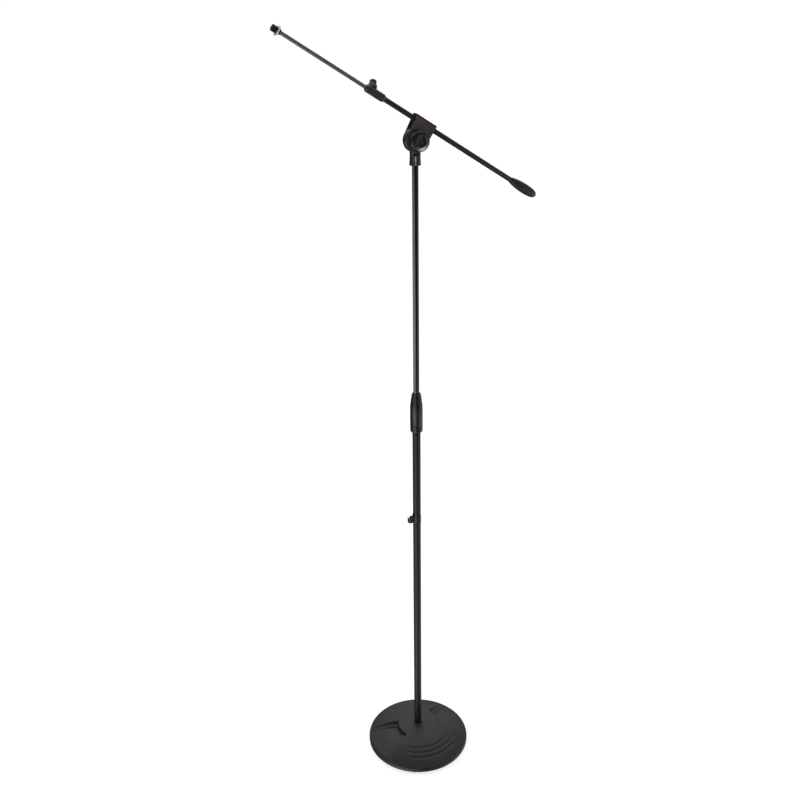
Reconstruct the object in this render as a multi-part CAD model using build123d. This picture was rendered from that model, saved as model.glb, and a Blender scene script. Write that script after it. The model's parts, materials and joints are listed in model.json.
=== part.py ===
"""Boom microphone stand: domed cast base, telescopic mast, tilting head and telescopic boom.

Millimetres. The origin is on the floor at the centre of the base, with +Z up. The boom lies in the
XZ plane with its microphone end towards -X, and the tilt knob is on the -Y side of the head.
"""
from build123d import *
from math import cos, radians, sin
import os

# ---------------------------------------------------------------- driving dimensions
# Base
BASE_R = 152.5                 # outer radius of the cast base
BASE_BOTTOM = 2.5              # height of the casting's underside
RIM_TOP = 17.0                 # height where the rim turns into the dome
RIM_ROUND = 3.5                # rounding between rim and dome
DOME_MID = (100.0, 47.5)       # a point of the dome's outline (radius, height)
HUB_R = 30.0                   # flat landing round the mast
HUB_TOP = 64.0                 # height of the landing
LOBE_R = 62.0                  # inner radius of the recessed sectors
RECESS_EDGE_R = 146.0          # outer radius of the recessed sectors
RECESS_HALF = 30.0             # half angle of a recessed sector, degrees
FLOOR_HALF = 22.0              # half angle of a sector's lower floor, degrees
LEDGE_HEIGHTS = (51.0, 41.0)   # ledge height at LOBE_R and half way out
FLOOR_HEIGHTS = (46.0, 37.5)   # floor height at LOBE_R and half way out
RECESS_END_RISE = 3.4          # recess's outer edge above RIM_TOP
GROOVES = ((98.5, 44.0), (112.5, 43.0), (125.0, 35.0))   # (radius, half angle) of the arc grooves
GROOVE_SECTION_R = 2.4         # radius of a groove's round section
GROOVE_LIFT = 0.6              # centre of that section above the dome
CASTING_WALL = 5.5             # thickness of the hollow casting
LOBE_WALL_EXTRA = 1.5          # the lobes are this much thicker
LOBE_HOLLOW_MARGIN = 5.0       # degrees between a lobe's edge and its hollow
RIM_WALL = 20.0                # width of the rim's underside
BOSS_R = 24.0                  # radius of the boss under the landing
BOSS_BOTTOM = 36.0             # height of the boss's underside
PAD_COUNT = 6
PAD_R = 7.0
PAD_CIRCLE_R = 143.0
BASE_WASHER_R = 17.0
BASE_WASHER_THICKNESS = 2.5
BASE_NUT_FLATS = 27.0
BASE_NUT_HEIGHT = 11.0

# Mast
LOWER_TUBE_R = 11.0
LOWER_TUBE_WALL = 1.5
LOWER_TUBE_TOP = 1100.0
UPPER_TUBE_R = 8.0
UPPER_TUBE_WALL = 1.2
UPPER_TUBE_BOTTOM = 800.0
FOOT_STUD_R = 8.0
FOOT_STUD_TAIL = 5.0           # length of stud below the nut
FOOT_FLANGE = 3.0
FOOT_FLANGE_LIP = 1.5          # the flange stands out this far round the tube
FOOT_PLUG = 30.0               # length of the insert inside the tube
GUIDE_LENGTH = 26.0            # slider at the upper tube's lower end
GUIDE_CAP = 3.0
GUIDE_HOLE_R = 4.0
TOP_PLUG_LENGTH = 24.0
CLUTCH_BOTTOM = 1071.0
CLUTCH_TOP = 1184.0
CLUTCH_R = 17.0
CLUTCH_TOP_R = 12.2
CLUTCH_THREAD_R = 12.7
CLUTCH_FOOT_R = 14.0           # lower edge of the grip
CLUTCH_MOUTH_R = 8.5           # mouth round the upper tube
CLUTCH_SHOULDER = 0.58         # share of the grip's height that is cylindrical
SLEEVE_RISE = 20.0             # sleeve above the lower tube's end
COLLET_RISE = 30.0             # collet above the sleeve
COLLET_HEAD_R = 12.0
COLLET_NOSE_R = 9.6
COLLET_SLOT = 1.6
CLIP_Z = 799.0                 # height of the cable clip's centre
CLIP_HEIGHT = 26.0
CLIP_HOOK_HEIGHT = 15.0
CLIP_HOOK_R = 8.2
CLIP_BAND = 1.5
CLIP_SNAP = 18.0               # width of the band's open side, which snaps over the tube
CLIP_HOOK_LAP = 0.8            # the hook runs into the band this far
CLIP_MOUTH = 5.2               # width of the hook's mouth
CLIP_MOUTH_DEPTH = 9.0
CLIP_MOUTH_OFFSET = 2.5        # mouth's centre from the hook's centre, away from the tube
CLIP_MOUTH_TURN = 25.0         # degrees
CLIP_WEB_WIDE = 9.0            # web between band and hook: width at the band and at the hook
CLIP_WEB_NARROW = 4.0

# Head
PIVOT_Z = 1844.0
DISC_R = 29.5
DISC_HALF = 8.2                # half thickness of the head's disc
COLLAR_BOTTOM = 1784.0
COLLAR_BOTTOM_R = 14.3
COLLAR_TOP_R = 13.2
COLLAR_HEIGHT = 25.0
COLLAR_CLEARANCE = 2.5         # collar's top below the bracket's rounded end
DISC_CHAMFER = 1.2
WEB_NARROWER = 1.0             # web's faces inside the disc's faces
WEB_HEIGHT = 18.0
MAST_SOCKET = 22.0             # depth of the mast's socket in the collar
SET_SCREW_R = 2.0
SET_SCREW_LENGTH = 4.2
SET_SCREW_KEY = 2.0            # hexagon socket across the flats
SET_SCREW_KEY_DEPTH = 1.5
BRACKET_GAP_HALF = 9.6         # half of the clear width inside the bracket
BRACKET_SHEET = 2.8
BRACKET_TOP = 53.3             # pivot to the outside of the fold
BRACKET_TOP_FRONT = 31.0       # front and rear end of the fold, along the boom
BRACKET_TOP_REAR = -29.5
BRACKET_EYE_R = 27.0           # rounded lower end of the bracket
BRACKET_OUTSIDE = BRACKET_GAP_HALF + BRACKET_SHEET
BRACKET_BEND_R = 4.2           # outer radius of the fold's two bends
SADDLE_SPLIT = 1.2             # gap between the two halves of the saddle
SADDLE_CHAMFER = 1.8
FRICTION_R = 24.0
BOLT_R = 4.0
BOLT_FLATS = 13.0
BOLT_HEAD = 5.3
BOLT_REACH = 15.0              # length of bolt that stands out of the bracket, inside the knob
WASHER_R = 9.0
WASHER_THICKNESS = 1.5
KNOB_R = 25.0
KNOB_NECK_R = 19.0
KNOB_RIM = (5.0, 16.0)         # lower and upper edge of the knob's rim, above its underside
KNOB_SHOULDER = 2.0            # rounding above the rim
KNOB_DISH_R = 13.0
KNOB_DISH_RING = 1.8           # width of the raised ring round the dish
KNOB_DISH_DEPTH = 3.6
KNOB_INSERT_R = 6.5
KNOB_THICKNESS = 20.6
CAP_EDGE = 1.0                 # cap's thickness at its edge and at its centre
CAP_CENTRE = 1.4
CAP_CROWN = 1.6                # and at its thickest, this far in from the edge
CAP_CROWN_IN = 4.0

# Boom, measured along its axis from the pivot, positive towards the microphone
BOOM_PITCH = 32.2              # degrees above the horizontal
BOOM_RISE = 41.5               # pivot to the boom's axis
OUTER_R = 6.25
OUTER_WALL = 1.2
OUTER_REAR = -322.0
OUTER_FRONT = 150.0
INNER_R = 4.5
INNER_WALL = 1.0
INNER_REAR = 10.0
INNER_FRONT = 409.0
CLAMP_REAR = 119.0
CLAMP_FRONT = 174.0
CLAMP_R = 9.5
CLAMP_TAPERS = (6.0, 4.0)      # length of the clamp's rear and front taper
CLAMP_LIPS = (1.2, 2.4)        # how much the clamp is reduced there: rear lip, front taper
SCREW_AT = 156.5
SCREW_LEAN = 37.0              # thumbscrew, degrees from straight up towards +Y
SCREW_R = 3.0
SCREW_BOSS_R = 11.0
SCREW_BOSS_TOP = 17.5          # boom axis to the top of the thumbscrew's boss
SCREW_BOSS_ROUND = 2.4
CLAMP_NUT_FLATS = 10.0
CLAMP_NUT_HEIGHT = 7.0
PAD_THICKNESS = 1.55           # pressure pad between thumbscrew and inner tube
THUMB_R = 8.3
THUMB_HEIGHT = 11.5
THUMB_GAP = 1.0                # clear space between boss and thumbscrew
THUMB_CHAMFER = 1.4
THUMB_COVER = 3.0              # plastic over the end of the stud
FLUTE_COUNT = 18
FLUTE_R = 0.9
FLUTE_OUT = 0.25               # flute's centre outside the knob's side
GRIP_FRONT = -294.5
GRIP_REAR = -381.5
GRIP_R = 12.4
BUSH_R = 7.3
BUSH_HALF = 23.4
BUSH_LIP = 2.0                 # length of the lip at each end of the bush
BUSH_LIP_RISE = 1.1
INNER_GUIDE_LENGTH = 22.0
INNER_GUIDE_CAP = 2.0
INNER_GUIDE_HOLE_R = 2.0
END_PLUG_LENGTH = 12.0
ADAPTER_REAR = 406.5
RING_REAR = 412.6
RING_THICKNESS = 4.0
RING_R = 12.0
THREAD_START = 417.6
THREAD_END = 428.8
THREAD_R = 7.9                 # 5/8 inch 27 thread, over its crests
THREAD_NECK_R = 7.6
ADAPTER_FOOT_R = 5.6           # adapter at the thin tube's end, growing to its neck
ADAPTER_NECK_R = 6.9
ADAPTER_FLARE = 2.5
ADAPTER_BORE_R = 5.0
THREAD_CHAMFER = 0.8
RING_CHAMFER = 0.6

# Clearances
RUN = 0.05                     # radial clearance of a running fit
GAP = 0.3                      # clear gap between pieces that move past each other
SPARE = 10.0                   # how far a cutting shape reaches past the surface it cuts

UP = (Align.CENTER, Align.CENTER, Align.MIN)
BOOM_DIR = Vector(-cos(radians(BOOM_PITCH)), 0, sin(radians(BOOM_PITCH)))
BOOM_UP = Vector(sin(radians(BOOM_PITCH)), 0, cos(radians(BOOM_PITCH)))
# Head frame: x along the boom to the microphone, y towards the knob, z square to the boom, upwards.
HEAD = Plane(origin=(0, 0, PIVOT_Z), x_dir=BOOM_DIR, z_dir=BOOM_UP)


# ---------------------------------------------------------------- helpers
def rod(radius, low, high, x=0.0, y=0.0):
    """Upright cylinder between two heights."""
    return Pos(x, y, low) * Cylinder(radius, high - low, align=UP)


def tube(outer, inner, low, high):
    """Upright round tube between two heights."""
    return rod(outer, low, high) - rod(inner, low, high)


def turned(outline, arc=360.0):
    """Solid turned about Z from corners given as (radius, height)."""
    return revolve(make_face(Plane.XZ * Polyline(*outline, close=True)), Axis.Z, arc)


def smooth_turned(curve, inner_end, inner_start):
    """Solid turned about Z: a smooth curve of (radius, height) points closed by two inner corners."""
    side = Spline(*curve)
    back = Polyline(curve[-1], inner_end, inner_start, curve[0])
    return revolve(make_face(Plane.XZ * (side + back)), Axis.Z, 360.0)


def along_boom(solid):
    """Places a solid that was made about Z on the boom's axis, its heights measured from the pivot."""
    return HEAD * (Pos(0, 0, BOOM_RISE) * Rot(0, 90, 0) * solid)


def across_head(solid):
    """Places a solid that was made about Z on the tilt axis, its heights counted towards the knob."""
    return HEAD * (Rot(-90, 0, 0) * solid)


def on_screw(solid):
    """Places a solid that was made about Z on the thumbscrew's axis, from the boom's axis outwards."""
    return HEAD * (Pos(SCREW_AT, 0, BOOM_RISE) * Rot(SCREW_LEAN, 0, 0) * solid)


def hexagon(flats, low, high):
    """Upright hexagonal bar, its size given across the flats."""
    return Pos(0, 0, low) * extrude(RegularPolygon(flats / 2, 6, major_radius=False), high - low)


# ---------------------------------------------------------------- base
def dome(rim_r, rim_top, middle, hub_r, hub_top, bottom, arc=360.0):
    """Domed solid: upright rim, one arc up to the hub and a flat landing."""
    rim = Polyline((0, bottom), (rim_r, bottom), (rim_r, rim_top))
    crown = ThreePointArc((rim_r, rim_top), middle, (hub_r, hub_top))
    landing = Polyline((hub_r, hub_top), (0, hub_top), (0, bottom))
    return revolve(make_face(Plane.XZ * (rim + crown + landing)), Axis.Z, arc)


def sector_cut(heights, half_angle):
    """Everything above a recessed sector's surface, centred on +X."""
    half_way = (LOBE_R + RECESS_EDGE_R) / 2
    edge_height = RIM_TOP + RECESS_END_RISE
    floor = ThreePointArc((LOBE_R, heights[0]), (half_way, heights[1]), (RECESS_EDGE_R, edge_height))
    clear = HUB_TOP + SPARE
    beyond = BASE_R + SPARE
    over = Polyline((RECESS_EDGE_R, edge_height), (beyond, edge_height + SPARE / 2), (beyond, clear),
                    (LOBE_R, clear), (LOBE_R, heights[0]))
    cutter = revolve(make_face(Plane.XZ * (floor + over)), Axis.Z, 2 * half_angle)
    return Rot(0, 0, -half_angle) * cutter


def dome_height(radius):
    """Height of the dome's outer arc at a radius, through its three defining points."""
    arc = ThreePointArc((BASE_R - RIM_ROUND, RIM_TOP + 1), DOME_MID, (HUB_R, HUB_TOP))
    centre = arc.arc_center
    return centre.Y + (arc.radius ** 2 - (radius - centre.X) ** 2) ** 0.5


def base_casting():
    """Hollow cast-iron base with two raised lobes, two stepped recesses and arc grooves."""
    rim = rod(BASE_R, BASE_BOTTOM, RIM_TOP - RIM_ROUND / 2)
    rim = chamfer(rim.edges().group_by(Axis.Z)[-1], RIM_ROUND / 2)
    crown = dome(BASE_R - RIM_ROUND, RIM_TOP + 1, DOME_MID, HUB_R, HUB_TOP, BASE_BOTTOM)
    body = rim + crown
    for turn in (0, 180):
        body -= Rot(0, 0, turn) * sector_cut(LEDGE_HEIGHTS, RECESS_HALF)
        body -= Rot(0, 0, turn) * sector_cut(FLOOR_HEIGHTS, FLOOR_HALF)
        for radius, half_angle in GROOVES:
            ring = Plane.XZ * (Pos(radius, dome_height(radius) + GROOVE_LIFT) * Circle(GROOVE_SECTION_R))
            groove = revolve(ring, Axis.Z, 2 * half_angle)
            body -= Rot(0, 0, turn + 90 - half_angle) * groove

    inner_r = BASE_R - RIM_WALL
    inner_rim = RIM_TOP + 1.0
    recess_mid = (DOME_MID[0], FLOOR_HEIGHTS[1] - CASTING_WALL)
    hollow = dome(inner_r, inner_rim, recess_mid, BOSS_R, FLOOR_HEIGHTS[0] - CASTING_WALL, 0)
    lobe_wall = CASTING_WALL + LOBE_WALL_EXTRA
    lobe_mid = (DOME_MID[0], DOME_MID[1] - lobe_wall)
    lobe_arc = 2 * (90 - RECESS_HALF - LOBE_HOLLOW_MARGIN)
    lobe_hollow = dome(inner_r, inner_rim, lobe_mid, HUB_R, HUB_TOP - lobe_wall - 1, 0, lobe_arc)
    for turn in (0, 180):
        hollow += Rot(0, 0, turn + 90 - lobe_arc / 2) * lobe_hollow
    body -= hollow - rod(BOSS_R, BOSS_BOTTOM, HUB_TOP)
    return body - rod(FOOT_STUD_R, 0, HUB_TOP + SPARE)


def base_pads():
    """Rubber pads under the rim, as one group."""
    pads = []
    for step in range(PAD_COUNT):
        angle = radians(step * 360 / PAD_COUNT)
        pads.append(rod(PAD_R, 0, BASE_BOTTOM, x=PAD_CIRCLE_R * cos(angle), y=PAD_CIRCLE_R * sin(angle)))
    return pads


def base_parts():
    """Casting, its pads, and the stud, washer and nut that hold the lower tube on it."""
    washer_low = BOSS_BOTTOM - BASE_WASHER_THICKNESS
    nut_low = washer_low - BASE_NUT_HEIGHT
    stud_low = nut_low - FOOT_STUD_TAIL
    tube_low = HUB_TOP + FOOT_FLANGE
    plug_r = LOWER_TUBE_R - LOWER_TUBE_WALL
    insert = rod(FOOT_STUD_R, stud_low, HUB_TOP) + rod(plug_r, tube_low, tube_low + FOOT_PLUG)
    insert += rod(LOWER_TUBE_R + FOOT_FLANGE_LIP, HUB_TOP, tube_low)
    return {
        "base_casting": base_casting(),
        "base_pads": base_pads(),
        "base_washer": tube(BASE_WASHER_R, FOOT_STUD_R, washer_low, BOSS_BOTTOM),
        "base_nut": hexagon(BASE_NUT_FLATS, nut_low, washer_low) - rod(FOOT_STUD_R, nut_low, washer_low),
        "tube_foot_insert": insert,
        "lower_tube": tube(LOWER_TUBE_R, plug_r, tube_low, LOWER_TUBE_TOP),
    }


# ---------------------------------------------------------------- clutch and mast
def clutch_parts():
    """Threaded sleeve on the lower tube, slotted collet on the upper tube and the twist grip over both."""
    sleeve_low = CLUTCH_BOTTOM + 4
    sleeve_top = LOWER_TUBE_TOP + SLEEVE_RISE
    collet_seat_r = LOWER_TUBE_R - 0.2
    sleeve = tube(CLUTCH_THREAD_R, LOWER_TUBE_R, sleeve_low, LOWER_TUBE_TOP)
    sleeve += tube(CLUTCH_THREAD_R, collet_seat_r, LOWER_TUBE_TOP, sleeve_top)

    bore = UPPER_TUBE_R + RUN
    collet_top = sleeve_top + COLLET_RISE
    collet = turned([(bore, LOWER_TUBE_TOP + GAP), (collet_seat_r - RUN, LOWER_TUBE_TOP + GAP),
                     (collet_seat_r - RUN, sleeve_top + 2), (COLLET_HEAD_R, sleeve_top + 4),
                     (COLLET_HEAD_R, sleeve_top + 8), (COLLET_NOSE_R, collet_top), (bore, collet_top)])
    slot = Pos(0, 0, sleeve_top + 6) * Box(2 * CLUTCH_R, COLLET_SLOT, COLLET_RISE, align=UP)
    for turn in (0, 90):
        collet -= Rot(0, 0, turn) * slot

    shoulder = CLUTCH_BOTTOM + CLUTCH_SHOULDER * (CLUTCH_TOP - CLUTCH_BOTTOM)
    thread_bore = CLUTCH_THREAD_R + RUN
    side = [(CLUTCH_R, shoulder), (CLUTCH_R - 1.2, shoulder + 17), (CLUTCH_R - 2.9, shoulder + 32),
            (CLUTCH_TOP_R, CLUTCH_TOP - 2.5)]
    straight = Polyline((CLUTCH_FOOT_R, CLUTCH_BOTTOM), (CLUTCH_FOOT_R + 1.6, CLUTCH_BOTTOM + 1),
                        (CLUTCH_R, CLUTCH_BOTTOM + 6), (CLUTCH_R, shoulder))
    top = Polyline((CLUTCH_TOP_R, CLUTCH_TOP - 2.5), (CLUTCH_TOP_R - 1.4, CLUTCH_TOP),
                   (CLUTCH_MOUTH_R, CLUTCH_TOP), (CLUTCH_MOUTH_R, collet_top + 8),
                   (COLLET_NOSE_R + 0.8, collet_top + 2), (COLLET_HEAD_R + 0.5, sleeve_top + 11),
                   (thread_bore, sleeve_top + 8), (thread_bore, CLUTCH_BOTTOM), (CLUTCH_FOOT_R, CLUTCH_BOTTOM))
    grip = revolve(make_face(Plane.XZ * (straight + Spline(*side) + top)), Axis.Z, 360.0)

    return {"clutch_sleeve": sleeve, "clutch_collet": collet, "clutch_grip": grip}


def mast_parts():
    """Upper tube, the slider at its lower end and the plug in its top."""
    inner = UPPER_TUBE_R - UPPER_TUBE_WALL
    tube_top = COLLAR_BOTTOM + MAST_SOCKET
    guide_low = UPPER_TUBE_BOTTOM - GUIDE_CAP
    guide_top = UPPER_TUBE_BOTTOM + GUIDE_LENGTH
    guide_r = LOWER_TUBE_R - LOWER_TUBE_WALL - RUN
    guide = rod(guide_r, guide_low, UPPER_TUBE_BOTTOM) + rod(inner, UPPER_TUBE_BOTTOM, guide_top)
    guide += tube(guide_r, UPPER_TUBE_R, UPPER_TUBE_BOTTOM, guide_top)
    guide -= rod(GUIDE_HOLE_R, guide_low, guide_top)
    return {
        "upper_tube": tube(UPPER_TUBE_R, inner, UPPER_TUBE_BOTTOM, tube_top),
        "upper_tube_guide": guide,
        "tube_top_plug": rod(inner, tube_top - TOP_PLUG_LENGTH, tube_top),
    }


def cable_clip():
    """Snap-on clip: a C band round the lower tube with an open hook for the cable on the -X side."""
    inner = LOWER_TUBE_R + RUN
    outer = inner + CLIP_BAND
    low = CLIP_Z - CLIP_HEIGHT / 2
    band = tube(outer, inner, low, low + CLIP_HEIGHT)
    snap_gap = Box(2 * outer, CLIP_SNAP, CLIP_HEIGHT, align=(Align.MIN, Align.CENTER, Align.MIN))
    band -= Pos(0, 0, low) * snap_gap
    hook_low = CLIP_Z - CLIP_HOOK_HEIGHT / 2
    hook_top = hook_low + CLIP_HOOK_HEIGHT
    hook_bore_r = CLIP_HOOK_R - CLIP_BAND
    hook_x = -(outer + CLIP_HOOK_R - CLIP_HOOK_LAP)
    hook = Pos(hook_x, 0, 0) * tube(CLIP_HOOK_R, hook_bore_r, hook_low, hook_top)
    mouth = Rot(0, 0, CLIP_MOUTH_TURN) * Box(CLIP_MOUTH, CLIP_MOUTH_DEPTH, CLIP_HOOK_HEIGHT + SPARE)
    mouth = Pos(hook_x - CLIP_MOUTH_OFFSET, CLIP_HOOK_R, CLIP_Z) * mouth
    web = loft([Plane.YZ.offset(-outer + 0.6) * Rectangle(CLIP_WEB_WIDE, CLIP_HEIGHT - 4),
                Plane.YZ.offset(-outer - 2.6) * Rectangle(CLIP_WEB_NARROW, CLIP_HOOK_HEIGHT)])
    hook += Pos(0, 0, CLIP_Z) * web
    hook -= rod(inner, low, low + CLIP_HEIGHT)
    hook -= Pos(hook_x, 0, 0) * rod(hook_bore_r, hook_low - SPARE, hook_top + SPARE)
    return band + (hook - mouth)


# ---------------------------------------------------------------- head
def head_casting():
    """Disc that the boom tilts on, a necked-down web below it and the collar on the mast."""
    disc = Pos(0, 0, PIVOT_Z) * Rot(90, 0, 0) * Cylinder(DISC_R, 2 * DISC_HALF)
    disc = chamfer(disc.edges().filter_by(GeomType.CIRCLE), DISC_CHAMFER)
    collar_top = COLLAR_BOTTOM + COLLAR_HEIGHT
    web_top = PIVOT_Z - BRACKET_EYE_R - COLLAR_CLEARANCE
    collar = turned([(0, COLLAR_BOTTOM), (COLLAR_BOTTOM_R - 1.2, COLLAR_BOTTOM),
                     (COLLAR_BOTTOM_R, COLLAR_BOTTOM + 1.2), (COLLAR_TOP_R, collar_top),
                     (COLLAR_TOP_R - 2, web_top), (0, web_top)])
    web_section = Rectangle(2 * COLLAR_TOP_R - 3, 2 * (DISC_HALF - WEB_NARROWER))
    web = Pos(0, 0, collar_top) * extrude(web_section, WEB_HEIGHT)
    body = disc + collar + web
    body -= rod(UPPER_TUBE_R, COLLAR_BOTTOM - SPARE, COLLAR_BOTTOM + MAST_SOCKET)
    return body - across_head(rod(BOLT_R + RUN, -DISC_HALF - SPARE, DISC_HALF + SPARE))


def bracket_sheet():
    """Folded sheet bracket over the disc, its two cheeks joined by the fold above the boom."""
    cheek = make_face(Plane.XZ * Polyline(
        (BRACKET_TOP_REAR, BRACKET_TOP), (BRACKET_TOP_FRONT, BRACKET_TOP),
        (BRACKET_EYE_R, 0), (-BRACKET_EYE_R, 0), close=True)) + Plane.XZ * Circle(BRACKET_EYE_R)
    block = extrude(cheek, BRACKET_OUTSIDE, both=True)
    block = fillet(block.edges().filter_by(Axis.X).group_by(Axis.Z)[-1], BRACKET_BEND_R)
    channel = Box(4 * BRACKET_TOP_FRONT, 2 * BRACKET_GAP_HALF, 2 * BRACKET_TOP,
                  align=(Align.CENTER, Align.CENTER, Align.MAX))
    channel = fillet(channel.edges().filter_by(Axis.X).group_by(Axis.Z)[-1], BRACKET_BEND_R - BRACKET_SHEET)
    bracket = block - Pos(0, 0, BRACKET_TOP - BRACKET_SHEET) * channel
    reach = BRACKET_OUTSIDE + SPARE
    return HEAD * bracket - across_head(rod(BOLT_R + RUN, -reach, reach))


def on_set_screw(solid):
    """Places a solid that was made about Z on the set screw's axis, from the mast's axis outwards."""
    return Pos(0, 0, COLLAR_BOTTOM + COLLAR_HEIGHT / 2) * Rot(-90, 0, 0) * solid


def saddle_halves():
    """Block under the fold that holds the boom's bush, split along the boom in a half for each cheek."""
    low = DISC_R + DISC_CHAMFER
    high = BRACKET_TOP - BRACKET_SHEET
    length = 2 * (BUSH_HALF - BUSH_LIP - GAP)
    block = Pos(0, 0, low) * Box(length, 2 * BRACKET_GAP_HALF, high - low, align=UP)
    block = chamfer(block.edges().filter_by(Axis.X).group_by(Axis.Z)[-1], SADDLE_CHAMFER)
    block -= Pos(0, 0, BOOM_RISE) * Rot(0, 90, 0) * Cylinder(BUSH_R + RUN, length + SPARE)
    halves = []
    for side, align in ((1, Align.MIN), (-1, Align.MAX)):
        keep = Box(length + SPARE, 2 * BRACKET_GAP_HALF, 2 * BRACKET_TOP,
                   align=(Align.CENTER, align, Align.MIN))
        halves.append(HEAD * (block & Pos(0, side * SADDLE_SPLIT / 2, 0) * keep))
    return halves


def head_parts():
    """Casting on the mast, friction discs, folded bracket, and the bush and bolt it holds."""
    screw = rod(SET_SCREW_R, UPPER_TUBE_R, UPPER_TUBE_R + SET_SCREW_LENGTH)
    key_low = UPPER_TUBE_R + SET_SCREW_LENGTH - SET_SCREW_KEY_DEPTH
    screw -= hexagon(SET_SCREW_KEY, key_low, key_low + SPARE)
    screw_hole = rod(SET_SCREW_R, UPPER_TUBE_R - 2, UPPER_TUBE_R + SPARE)

    saddle_front, saddle_rear = saddle_halves()
    bush = tube(BUSH_R, OUTER_R + RUN, -BUSH_HALF, BUSH_HALF)
    for end in (-BUSH_HALF, BUSH_HALF - BUSH_LIP):
        bush += tube(BUSH_R + BUSH_LIP_RISE, OUTER_R + RUN, end, end + BUSH_LIP)

    friction = tube(FRICTION_R, BOLT_R + RUN, DISC_HALF, BRACKET_GAP_HALF - 0.1)
    bolt = rod(BOLT_R, -BRACKET_OUTSIDE, BRACKET_OUTSIDE + BOLT_REACH)
    bolt += hexagon(BOLT_FLATS, -BRACKET_OUTSIDE - BOLT_HEAD, -BRACKET_OUTSIDE)
    washer = tube(WASHER_R, BOLT_R, BRACKET_OUTSIDE, BRACKET_OUTSIDE + WASHER_THICKNESS)
    return {
        "head_body": head_casting() - on_set_screw(screw_hole),
        "head_set_screw": on_set_screw(screw),
        "friction_disc_front": across_head(friction),
        "friction_disc_rear": across_head(Rot(180, 0, 0) * friction),
        "boom_bracket": bracket_sheet(),
        "saddle_front": saddle_front,
        "saddle_rear": saddle_rear,
        "boom_bush": along_boom(bush),
        "tilt_bolt": across_head(bolt),
        "tilt_washer": across_head(washer),
    }


def knob_parts():
    """Tilt knob: a wide rim, a conical shoulder and a capped dish, moulded round a threaded insert."""
    low = BRACKET_OUTSIDE + WASHER_THICKNESS + GAP
    top = low + KNOB_THICKNESS
    seat = top - KNOB_DISH_DEPTH
    rim_low, rim_top = (low + edge for edge in KNOB_RIM)
    knob = turned([(KNOB_INSERT_R, low), (KNOB_NECK_R, low), (KNOB_R, rim_low), (KNOB_R, rim_top),
                   (KNOB_R - KNOB_SHOULDER, rim_top + KNOB_SHOULDER), (KNOB_DISH_R + KNOB_DISH_RING, top - 0.5),
                   (KNOB_DISH_R + KNOB_DISH_RING / 2, top), (KNOB_DISH_R, top - 0.6), (KNOB_DISH_R, seat),
                   (KNOB_INSERT_R, seat)])
    insert = tube(KNOB_INSERT_R, BOLT_R + RUN, low, seat - 1) + rod(KNOB_INSERT_R, seat - 1, seat)
    cap = turned([(0, seat), (KNOB_DISH_R, seat), (KNOB_DISH_R, seat + CAP_EDGE),
                  (KNOB_DISH_R - CAP_CROWN_IN, seat + CAP_CROWN), (0, seat + CAP_CENTRE)])
    return {
        "tilt_knob": across_head(knob),
        "knob_insert": across_head(insert),
        "knob_cap": across_head(cap),
    }


# ---------------------------------------------------------------- boom
def screw_boss():
    """Boss for the thumbscrew: a short column with a rounded top edge."""
    boss = rod(SCREW_BOSS_R, OUTER_R - 0.75, SCREW_BOSS_TOP)
    return fillet(boss.edges().group_by(Axis.Z)[-1], SCREW_BOSS_ROUND)


def clamp_parts():
    """Clamp where the thin tube enters the thick one: shell and boss, nut, pad and thumbscrew."""
    bore = INNER_R + RUN
    rear_taper, front_taper = CLAMP_TAPERS
    rear_lip, front_lip = CLAMP_LIPS
    shell = turned([(OUTER_R, CLAMP_REAR), (OUTER_R + rear_lip, CLAMP_REAR), (CLAMP_R, CLAMP_REAR + rear_taper),
                    (CLAMP_R, CLAMP_FRONT - front_taper), (CLAMP_R - front_lip, CLAMP_FRONT),
                    (bore, CLAMP_FRONT), (bore, OUTER_FRONT), (OUTER_R, OUTER_FRONT)])
    nut_low = SCREW_BOSS_TOP - CLAMP_NUT_HEIGHT
    clamp = along_boom(shell) + on_screw(screw_boss())
    clamp -= along_boom(rod(OUTER_R, CLAMP_REAR - SPARE, OUTER_FRONT))
    clamp -= along_boom(rod(bore, OUTER_FRONT - SPARE, CLAMP_FRONT + SPARE))
    clamp -= on_screw(rod(SCREW_R + RUN, 0, SCREW_BOSS_TOP + SPARE))
    clamp -= on_screw(hexagon(CLAMP_NUT_FLATS, nut_low, SCREW_BOSS_TOP + SPARE))
    nut = hexagon(CLAMP_NUT_FLATS, nut_low, SCREW_BOSS_TOP) - rod(SCREW_R + RUN, nut_low, SCREW_BOSS_TOP)

    pad_low = bore + RUN
    stud_low = pad_low + PAD_THICKNESS + RUN
    thumb_low = SCREW_BOSS_TOP + THUMB_GAP
    thumb_top = thumb_low + THUMB_HEIGHT
    stud_top = thumb_top - THUMB_COVER
    thumb = rod(THUMB_R, thumb_low, thumb_top)
    thumb = chamfer(thumb.edges().group_by(Axis.Z)[-1], THUMB_CHAMFER)
    flute = rod(FLUTE_R, thumb_low - SPARE, thumb_top + SPARE, x=THUMB_R + FLUTE_OUT)
    for step in range(FLUTE_COUNT):
        thumb -= Rot(0, 0, step * 360 / FLUTE_COUNT) * flute
    thumb -= rod(SCREW_R, thumb_low - SPARE, stud_top)
    return {
        "telescope_clamp": clamp,
        "clamp_nut": on_screw(nut),
        "pressure_pad": on_screw(rod(SCREW_R - 0.1, pad_low, pad_low + PAD_THICKNESS)),
        "thumbscrew_stud": on_screw(rod(SCREW_R, stud_low, stud_top)),
        "thumbscrew_knob": on_screw(thumb),
    }


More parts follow.
